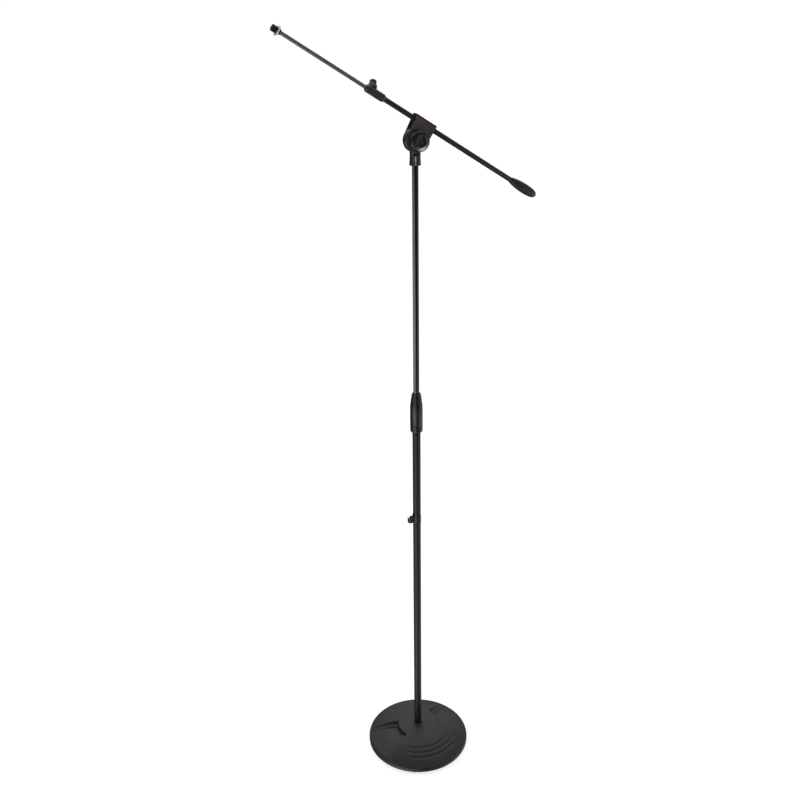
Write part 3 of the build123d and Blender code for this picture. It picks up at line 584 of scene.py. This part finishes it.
# ---------------------------------------------------------------- head
HEAD_BORE = 4.1 * MM                 # radius of the tilt bolt's hole
HEAD_CHAMFER = 1.4 * MM              # on the edges of the disc
COLLAR_RADIUS = 13.3 * MM
COLLAR_HEIGHT = 25 * MM
COLLAR_CORE = 0.1 * MM               # inner radius of the collar's outline
NECK_HEIGHT = 12 * MM                # from the collar up into the disc
WEB_RISE = 6 * MM                    # middle of the block between collar and disc, above the collar
WEB_HALF_HEIGHT = 9 * MM
WEB_EDGE = 2.2 * MM                  # rounding of that block
HEAD_VOXEL = 0.55 * MM               # fineness of the casting's skin
SKIN_SMOOTHING = 3                   # rounds of smoothing over a blended skin

KNOB_FLARE = 6.0 * MM                # how far the knob's rim stands out past its neck
KNOB_ROUNDING = 1.3 * MM
KNOB_STEPS = 160
CAP_ROUNDING = 0.5 * MM
CAP_FLAT = 3 * MM                    # radius of the flat in the middle of the knob's cap


def make_head():
    """Die-cast disc, neck and collar with soft casting fillets."""
    half, _, _ = span("friction_disc_front", ON_PIVOT)       # the disc's face lies against this washer
    low, top, _ = span("head_body", MAST)
    radius = top - PIVOT.z
    disc = lathe("disc", [(HEAD_BORE, -half), (radius - HEAD_CHAMFER, -half), (radius, -half + HEAD_CHAMFER),
                          (radius, half - HEAD_CHAMFER), (radius - HEAD_CHAMFER, half), (HEAD_BORE, half)],
                 SMOOTH_STEPS, 0)
    disc.transform(ON_PIVOT)
    neck_low = low + COLLAR_HEIGHT
    neck_high = neck_low + NECK_HEIGHT
    collar = lathe("collar", [(COLLAR_CORE, low), (COLLAR_RADIUS - 0.2 * MM, low),
                              (COLLAR_RADIUS + 1.0 * MM, low + 1.2 * MM),
                              (COLLAR_RADIUS + 0.2 * MM, low + 12 * MM),
                              (COLLAR_RADIUS - 0.2 * MM, neck_low - 1 * MM),
                              (COLLAR_RADIUS - 1.2 * MM, neck_low + 1.5 * MM),
                              (COLLAR_RADIUS - 4.2 * MM, neck_low + 4 * MM),
                              (COLLAR_RADIUS - 5.4 * MM, neck_high), (COLLAR_CORE, neck_high)], round_by=0)
    web_halves = (COLLAR_RADIUS - 1.4 * MM, half - 0.6 * MM, WEB_HALF_HEIGHT)
    web = block("web", (0, 0, neck_low + WEB_RISE), web_halves, WEB_EDGE)
    skin = blend_solids("head_body_shown", [disc, collar, web], HEAD_VOXEL, SKIN_SMOOTHING)
    show("head_body", skin, Matrix.Identity(4), PAINTS["head"])


def make_knob():
    """Tilt knob: a neck flaring to a wide rim, a conical shoulder and a dished cap."""
    low, high, radius = span("tilt_knob", ON_PIVOT)
    _, seat, insert_r = span("knob_insert", ON_PIVOT)
    cap_low, cap_high, cap_r = span("knob_cap", ON_PIVOT)
    neck = radius - KNOB_FLARE
    outline = [(insert_r, low), (neck, low), (radius - 1.0 * MM, low + 4.2 * MM), (radius, low + 6 * MM),
               (radius, high - 5.4 * MM), (radius - 2.4 * MM, high - 2.6 * MM),
               (cap_r + 2.4 * MM, high - 0.6 * MM), (cap_r + 1.2 * MM, high), (cap_r, high - 0.8 * MM),
               (cap_r, seat), (insert_r, seat)]
    show("tilt_knob", lathe("tilt_knob_shown", outline, KNOB_STEPS, KNOB_ROUNDING), ON_PIVOT, PAINTS["knob"])
    cap = [(0, cap_low), (cap_r, cap_low), (cap_r, cap_high - 0.3 * MM), (cap_r - 1.6 * MM, cap_high),
           (cap_r - 4.4 * MM, cap_high - 0.5 * MM), (cap_r - 5.4 * MM, cap_high - 1.0 * MM),
           (CAP_FLAT, cap_high - 0.7 * MM), (0, cap_high - 0.6 * MM)]
    show("knob_cap", lathe("knob_cap_shown", cap, SMOOTH_STEPS, CAP_ROUNDING), ON_PIVOT, PAINTS["cap"])


# ---------------------------------------------------------------- boom
CLAMP_RADIUS = 9.5 * MM
CLAMP_BORE_WIDE = 5.2 * MM           # radius of the clamp's bore at its rear end
CLAMP_BORE_NARROW = 4.7 * MM         # the same at its front end
CLAMP_STEP = (31 * MM, 34 * MM)      # where the bore narrows, from the clamp's rear end
SCREW_BOSS = 11.0 * MM               # radius of the thumbscrew's boss
SCREW_BORE = 3.1 * MM                # radius of the hole through it
SCREW_START = 6.2 * MM               # height of its foot over the boom's axis
CLAMP_VOXEL = 0.42 * MM

THUMB_RADIUS = 8.3 * MM              # head of the thumbscrew
THUMB_BORE = 3.05 * MM
FLUTES = 18
THUMB_STEPS = 16 * FLUTES            # points round its head
FLUTE_DEPTH = 0.8 * MM
FLUTE_POWER = 1.6                    # above 1 the flutes are narrower than the ridges
FLUTE_FADE = (2.4 * MM, 0.8 * MM)    # in from the edge, where the flutes start and reach full depth
THUMB_CREASE = 60.0                  # degrees

THREAD_PITCH = 25.4 * MM / 27        # 27 turns to the inch
THREAD_DEPTH = 0.55 * MM
THREAD_ROWS = 8                      # rings of points in each turn of the thread
THREAD_LEAD = 1.0 * MM               # plain length between lock ring and thread
THREAD_TAIL = 0.6 * MM               # plain length at the tip
THREAD_CREASE = 25.0                 # degrees
THREAD_BORE = 5.0 * MM               # radius of the hole in the tip
THREAD_BORE_DEPTH = 11 * MM
STEM_BORE = 4.5 * MM                 # radius of the hole for the boom tube
STEM_RADIUS = 6.9 * MM               # the adapter behind the lock ring
THREAD_CORE = 7.55 * MM              # radius of the stretch under the lock ring

RING_BORE = 7.75 * MM
KNURL_DEPTH = 0.45 * MM
KNURL_PITCH = 1.5 * MM
KNURL_COUNT = 30
RING_STEPS = 16 * KNURL_COUNT        # points round the lock ring
RING_ROWS = 10                       # rings of points up its knurled side
RING_CREASE = 40.0                   # degrees
RING_CHAMFER = 1.2 * MM

GRIP_BORE = 6.4 * MM
GRIP_BORE_END = 0.6                  # depth of the bore, in grip lengths
GRIP_SWELL = (                       # share of the largest radius, share of the length from the rear
    (0.60, 1.0), (0.76, 0.90), (0.92, 0.73), (1.0, 0.52), (0.984, 0.34), (0.887, 0.18), (0.694, 0.075),
    (0.42, 0.017), (0.20, 0.0))


def make_clamp():
    """Moulded clamp where the thin tube enters the thick one, with a boss for the thumbscrew."""
    low, high, _ = span("telescope_clamp", ON_BOOM)
    step_start, step_end = CLAMP_STEP
    barrel = lathe("barrel", [(CLAMP_BORE_WIDE, low), (CLAMP_RADIUS - 2.2 * MM, low),
                              (CLAMP_RADIUS, low + 6 * MM), (CLAMP_RADIUS, high - 4 * MM),
                              (CLAMP_RADIUS - 2.6 * MM, high), (CLAMP_BORE_NARROW, high),
                              (CLAMP_BORE_NARROW, low + step_end), (CLAMP_BORE_WIDE, low + step_start)],
                   round_by=0)
    barrel.transform(ON_BOOM)
    _, boss_top, _ = span("clamp_nut", ON_SCREW)
    boss = lathe("boss", [(SCREW_BORE, SCREW_START), (SCREW_BOSS, SCREW_START),
                          (SCREW_BOSS, boss_top - 2.4 * MM), (SCREW_BOSS - 0.8 * MM, boss_top - 0.8 * MM),
                          (SCREW_BOSS - 2.4 * MM, boss_top), (SCREW_BORE, boss_top)], round_by=0)
    boss.transform(ON_SCREW)
    skin = blend_solids("telescope_clamp_shown", [barrel, boss], CLAMP_VOXEL, SKIN_SMOOTHING)
    show("telescope_clamp", skin, Matrix.Identity(4), PAINTS["clamp"])


def make_thumbscrew():
    """Fluted head of the thumbscrew."""
    low, high, _ = span("thumbscrew_knob", ON_SCREW)
    side = divided([(THUMB_RADIUS - 0.8 * MM, low), (THUMB_RADIUS, low + 0.8 * MM),
                    (THUMB_RADIUS, high - 1.6 * MM), (THUMB_RADIUS - 1.4 * MM, high - 0.3 * MM),
                    (THUMB_RADIUS - 2.6 * MM, high), (2.4 * MM, high), (1.8 * MM, high - 0.5 * MM),
                    (0, high - 0.5 * MM)], pieces=3)
    outline = [(THUMB_BORE, low)] + side + [(0, high - 3 * MM), (THUMB_BORE, high - 3 * MM)]
    fade_start, fade_end = (THUMB_RADIUS - inset for inset in FLUTE_FADE)

    def flutes(radius, _height, angle):
        depth = FLUTE_DEPTH * fade(radius, fade_start, fade_end)
        return -depth * (0.5 + 0.5 * math.cos(FLUTES * angle)) ** FLUTE_POWER

    mesh = lathe("thumbscrew_knob_shown", outline, THUMB_STEPS, 0, flutes, THUMB_CREASE)
    show("thumbscrew_knob", mesh, ON_SCREW, PAINTS["thumb"])


def make_thread():
    """Threaded adapter at the microphone end."""
    low, high, radius = span("thread_adapter", ON_BOOM)
    ring_low, ring_high, _ = span("lock_ring", ON_BOOM)
    start = ring_high + THREAD_LEAD
    bore_end = high - THREAD_BORE_DEPTH
    rows = [(STEM_BORE, low), (5.5 * MM, low), (STEM_RADIUS, low + 2.6 * MM),
            (STEM_RADIUS, ring_low - 0.9 * MM), (THREAD_CORE, ring_low - 0.4 * MM), (THREAD_CORE, start)]
    count = int((high - start - THREAD_TAIL) / THREAD_PITCH * THREAD_ROWS)
    rows += [(radius, start + (i + 1) * THREAD_PITCH / THREAD_ROWS) for i in range(count)]
    rows += [(radius - 1.0 * MM, high), (THREAD_BORE + 0.3 * MM, high), (THREAD_BORE, high - 0.4 * MM),
             (THREAD_BORE, bore_end), (STEM_BORE, bore_end)]

    def thread(wide, height, angle):
        if wide < radius - 0.2 * MM:
            return 0.0
        phase = (height / THREAD_PITCH - angle / TURN) % 1.0
        return -THREAD_DEPTH * (1 - abs(2 * phase - 1)) * fade(height, start, start + THREAD_PITCH)

    mesh = lathe("thread_adapter_shown", rows, LATHE_STEPS, 0, thread, THREAD_CREASE)
    show("thread_adapter", mesh, ON_BOOM, PAINTS["thread"])


def make_lock_ring():
    """Knurled lock ring behind the thread."""
    low, high, radius = span("lock_ring", ON_BOOM)
    wall = divided([(radius - 0.1 * MM, low + 0.7 * MM), (radius - 0.1 * MM, high - 0.7 * MM)], RING_ROWS)
    outline = [(RING_BORE, low), (radius - RING_CHAMFER, low)] + wall
    outline += [(radius - RING_CHAMFER, high), (8.4 * MM, high), (RING_BORE, high - 0.6 * MM)]

    def knurl(wide, height, angle):
        if wide < radius - 0.5 * MM:
            return 0.0
        lean = (height - low) / KNURL_PITCH * math.pi
        around = KNURL_COUNT * angle
        return -KNURL_DEPTH * abs(math.sin(around + lean)) * abs(math.sin(around - lean))

    mesh = lathe("lock_ring_shown", outline, RING_STEPS, 0, knurl, RING_CREASE)
    show("lock_ring", mesh, ON_BOOM, PAINTS["nickel"])


def make_end_grip():
    """Swelling handle on the boom's rear end."""
    low, high, radius = span("boom_end_grip", ON_BOOM)
    long = high - low
    bore_end = high - GRIP_BORE_END * long
    curve = smooth_curve([(radius * wide, low + long * part) for wide, part in GRIP_SWELL])
    outline = [(GRIP_BORE, high)] + curve + [(0, low), (0, bore_end), (GRIP_BORE, bore_end)]
    show("boom_end_grip", lathe("boom_end_grip_shown", outline, SMOOTH_STEPS, 0), ON_BOOM, PAINTS["vinyl"])


# ---------------------------------------------------------------- pieces shown as their CAD nodes
CAD_FINISHES = (                     # node, paint, softening of its edges in millimetres
    ("base_pads", "rubber", 0.3), ("base_washer", "zinc", 0.3), ("base_nut", "zinc", 0.6),
    ("tube_foot_insert", "black_steel", 0.4),
    ("clutch_sleeve", "zinc", 0.3), ("clutch_collet", "nylon", 0.2), ("cable_clip", "clip", 0.45),
    ("upper_tube_guide", "nylon", 0.3), ("tube_top_plug", "zinc", 0.3), ("head_set_screw", "zinc", 0),
    ("friction_disc_front", "black_nylon", 0.2), ("friction_disc_rear", "black_nylon", 0.2),
    ("boom_bracket", "bracket", 0.5), ("saddle_front", "clip", 0.4), ("saddle_rear", "clip", 0.4),
    ("boom_bush", "black_nylon", 0.2), ("tilt_bolt", "zinc", 0.5), ("tilt_washer", "zinc", 0.2),
    ("knob_insert", "brass", 0.2),
    ("boom_end_plug", "clip", 0.2), ("inner_tube_guide", "nylon", 0.2), ("clamp_nut", "brass", 0.2),
    ("pressure_pad", "nylon", 0), ("thumbscrew_stud", "zinc", 0))


def finish_cad_pieces():
    for node, paint, bevel in CAD_FINISHES:
        finish_node(node, PAINTS[paint], bevel * MM)


# ---------------------------------------------------------------- studio
CAMERA_AT = Vector((-1.0453, -2.1385, 2.2265))
CAMERA_AZIMUTH = math.radians(-25.0)     # viewing direction, turned from +Y towards +X
CAMERA_TILT = math.radians(24.05)        # downwards
CAMERA_ROLL = -0.0125                    # radians
CAMERA_LENS = 43.9                       # millimetres
SENSOR_WIDTH = 36.0                      # millimetres
CAMERA_REACH = 200.0                     # metres


def make_camera():
    data = bpy.data.cameras.new("camera")
    data.lens = CAMERA_LENS
    data.sensor_width = SENSOR_WIDTH
    data.clip_end = CAMERA_REACH
    camera = bpy.data.objects.new("camera", data)
    look = Vector((-math.sin(CAMERA_AZIMUTH) * math.cos(CAMERA_TILT),
                   math.cos(CAMERA_AZIMUTH) * math.cos(CAMERA_TILT), -math.sin(CAMERA_TILT)))
    level = look.cross(Z).normalized()
    upright = level.cross(look)
    right = level * math.cos(CAMERA_ROLL) + upright * math.sin(CAMERA_ROLL)
    up = right.cross(look)
    camera.matrix_world = Matrix.Translation(CAMERA_AT) @ Matrix((right, up, -look)).transposed().to_4x4()
    bpy.context.scene.collection.objects.link(camera)
    bpy.context.scene.camera = camera


def area_light(name, at, towards, wide, tall, watts, only):
    """Rectangular light. With only, it shines on those pieces and on nothing else."""
    data = bpy.data.lights.new(name, "AREA")
    data.shape = "RECTANGLE"
    data.size = wide
    data.size_y = tall
    data.energy = watts
    light = bpy.data.objects.new(name, data)
    light.matrix_world = place_at(Vector(at), Vector(at) - Vector(towards))
    bpy.context.scene.collection.objects.link(light)
    if only:
        receivers = bpy.data.collections.new(name + "_receivers")
        for piece in only:
            receivers.objects.link(bpy.data.objects[piece])
        light.light_linking.receiver_collection = receivers


# Lights of the studio: name, place, point it faces, width, height, watts, and the pieces it is kept to.
LIGHTS = (
    ("key", (0.6, 1.5, 3.6), (0, 0, 0.8), 1.6, 1.6, 13, ()),
    ("rim", (-2.4, 1.0, 0.75), (0, 0, 1.4), 1.5, 2.2, 35, ("upper_tube_shown",)),
    ("side", (-2.46, -0.84, 1.0), (0, 0, 1.5), 1.5, 1.6, 15, ("upper_tube_shown",)),
    ("collar", (-0.55, -2.1, 1.42), (0, 0, 1.80), 0.80, 0.34, 20, ("head_body_shown",)),
    ("knob", (0.95, -1.0, 0.75), (0, 0, 1.84), 0.5, 0.5, 22, ("tilt_knob_shown",)),
)

# Soft boxes of the studio: direction they shine from, half angles in degrees at which they fade out and
# are at full brightness, and that brightness.
SOFT_BOXES = (
    ((-0.83, -0.43, -0.63), 37, 6, 2.6),      # from below, in front, on the microphone's side
    ((0.80, -0.33, -0.56), 50, 10, 0.9),      # from below, in front, on the end grip's side
    ((0.20, 0.45, 1.0), 76, 20, 0.80),        # overhead, a little behind the stand
)
STUDIO_FILL = 0.10                            # brightness in every direction, under the boxes


def soft_world():
    """Dark studio with soft boxes in fixed directions. The camera itself sees plain white."""
    world = bpy.data.worlds.new("studio")
    world.use_nodes = True
    nodes, links = world.node_tree.nodes, world.node_tree.links
    background = nodes["Background"]
    coords = nodes.new("ShaderNodeTexCoord")
    total = None
    for direction, edge, core, strength in SOFT_BOXES:
        facing = nodes.new("ShaderNodeVectorMath")
        facing.operation = "DOT_PRODUCT"
        facing.inputs[1].default_value = Vector(direction).normalized()
        links.new(coords.outputs["Generated"], facing.inputs[0])
        cosines = (math.cos(math.radians(edge)), math.cos(math.radians(core)))
        glow = map_range(nodes, links, facing.outputs["Value"], cosines, (0.0, strength), smooth=True)
        added = nodes.new("ShaderNodeMath")
        added.operation = "ADD"
        links.new(glow, added.inputs[0])
        if total:
            links.new(total, added.inputs[1])
        else:
            added.inputs[1].default_value = STUDIO_FILL
        total = added.outputs["Value"]
    lit = nodes.new("ShaderNodeLightPath")
    seen = nodes.new("ShaderNodeMix")
    links.new(lit.outputs["Is Camera Ray"], seen.inputs["Factor"])
    links.new(total, seen.inputs["A"])
    seen.inputs["B"].default_value = 1.0
    links.new(seen.outputs["Result"], background.inputs["Strength"])
    background.inputs["Color"].default_value = (1, 1, 1, 1)
    bpy.context.scene.world = world


FLOOR_RADIUS = 90.0                           # metres
FLOOR_SEGMENTS = 96
FLOOR_GREY = 0.55
FLOOR_ROUGHNESS = 0.9
FLOOR_GLOW = 0.72


def make_floor():
    """White floor with a glow of its own, on which only the shadow right under the base shows.

    The stand's surfaces neither reflect it nor are lit by it.
    """
    builder = bmesh.new()
    bmesh.ops.create_circle(builder, cap_ends=True, segments=FLOOR_SEGMENTS, radius=FLOOR_RADIUS)
    floor_mesh = bpy.data.meshes.new("floor")
    builder.to_mesh(floor_mesh)
    builder.free()
    floor = bpy.data.objects.new("floor", floor_mesh)
    bpy.context.scene.collection.objects.link(floor)
    material, _, _, shader = new_material("pale_floor")
    shader.inputs["Base Color"].default_value = (FLOOR_GREY, FLOOR_GREY, FLOOR_GREY, 1)
    shader.inputs["Roughness"].default_value = FLOOR_ROUGHNESS
    shader.inputs["Specular IOR Level"].default_value = 0.0
    shader.inputs["Emission Color"].default_value = (1, 1, 1, 1)
    shader.inputs["Emission Strength"].default_value = FLOOR_GLOW
    floor_mesh.materials.append(material)
    floor.visible_glossy = False
    floor.visible_diffuse = False


def make_studio():
    make_floor()
    soft_world()
    for light in LIGHTS:
        area_light(*light)
    bpy.context.scene.view_settings.view_transform = "Standard"


make_camera()
make_base()
make_tubes()
make_clutch()
make_head()
make_knob()
make_clamp()
make_thumbscrew()
make_thread()
make_lock_ring()
make_end_grip()
finish_cad_pieces()
make_studio()
